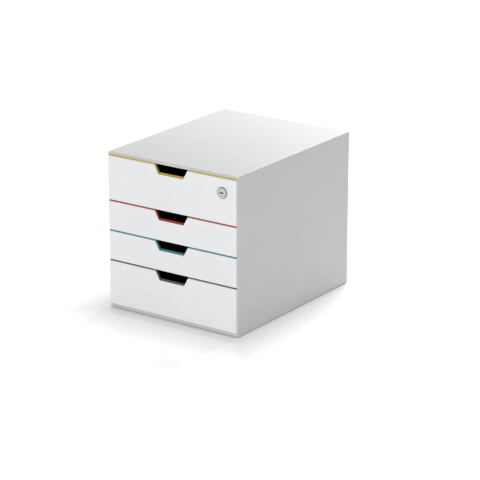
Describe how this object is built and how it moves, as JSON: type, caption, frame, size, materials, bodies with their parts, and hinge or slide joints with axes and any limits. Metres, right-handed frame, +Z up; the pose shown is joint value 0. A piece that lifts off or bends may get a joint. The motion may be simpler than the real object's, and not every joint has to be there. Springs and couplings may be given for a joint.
{
  "type": "desktop drawer box",
  "caption": "Closed desktop box with sliding drawers of two heights, coloured grip liners and a cam lock on the top drawer.",
  "frame": {"origin": "middle of the footprint, on the surface that the feet stand on", "axes": "+Z up, -Y the front with the drawers, +X to the right as seen from the front"},
  "size_m": [0.28, 0.358, 0.292],
  "materials": {
    "casing_grey": "satin moulded",
    "runner_grey": "smooth moulded",
    "front_white": "semi-gloss moulded",
    "liner_yellow": "semi-gloss moulded",
    "liner_red": "semi-gloss moulded",
    "liner_teal": "semi-gloss moulded",
    "liner_grey": "semi-gloss moulded",
    "tray_charcoal": "fine-textured moulded",
    "foot_rubber": "matt",
    "screw_steel": "zinc plated",
    "lock_chrome": "nickel plated, satin",
    "wafer_brass": "plain"
  },
  "bodies": {
    "housing": {"casing": "casing_grey", "rear_panel": "casing_grey", "left_runner_panel": "runner_grey", "right_runner_panel": "runner_grey", "lock_keeper": "screw_steel", "foot_front_left": "foot_rubber", "foot_front_right": "foot_rubber", "foot_rear_left": "foot_rubber", "foot_rear_right": "foot_rubber", "rear_screws": "screw_steel", "left_runner_screws": "screw_steel", "right_runner_screws": "screw_steel", "keeper_screws": "screw_steel"},
    "drawer_1": {"drawer_1_tray": "tray_charcoal", "drawer_1_liner": "liner_yellow", "drawer_1_front": "front_white", "drawer_1_screws": "screw_steel", "lock_barrel": "lock_chrome", "lock_washer": "screw_steel", "lock_nut": "screw_steel"},
    "drawer_2": {"drawer_2_tray": "tray_charcoal", "drawer_2_liner": "liner_red", "drawer_2_front": "front_white", "drawer_2_screws": "screw_steel"},
    "drawer_3": {"drawer_3_tray": "tray_charcoal", "drawer_3_liner": "liner_teal", "drawer_3_front": "front_white", "drawer_3_screws": "screw_steel"},
    "drawer_4": {"drawer_4_tray": "tray_charcoal", "drawer_4_liner": "liner_grey", "drawer_4_front": "front_white", "drawer_4_screws": "screw_steel"},
    "lock_rotor": {"lock_plug": "lock_chrome", "lock_wafers": "wafer_brass", "lock_cam": "screw_steel", "lock_cam_screw": "screw_steel"}
  },
  "joints": [
    {"name": "drawer_1_slide", "type": "slide", "parent": "housing", "child": "drawer_1", "axis": [0, -1, 0], "range_m": [0, 0.24]},
    {"name": "drawer_2_slide", "type": "slide", "parent": "housing", "child": "drawer_2", "axis": [0, -1, 0], "range_m": [0, 0.24]},
    {"name": "drawer_3_slide", "type": "slide", "parent": "housing", "child": "drawer_3", "axis": [0, -1, 0], "range_m": [0, 0.24]},
    {"name": "drawer_4_slide", "type": "slide", "parent": "housing", "child": "drawer_4", "axis": [0, -1, 0], "range_m": [0, 0.24]},
    {"name": "lock_turn", "type": "hinge", "parent": "drawer_1", "child": "lock_rotor", "pos_m": [0.1095, -0.177, 0.2595], "axis": [0, 1, 0], "range_deg": [0, 90]}
  ]
}
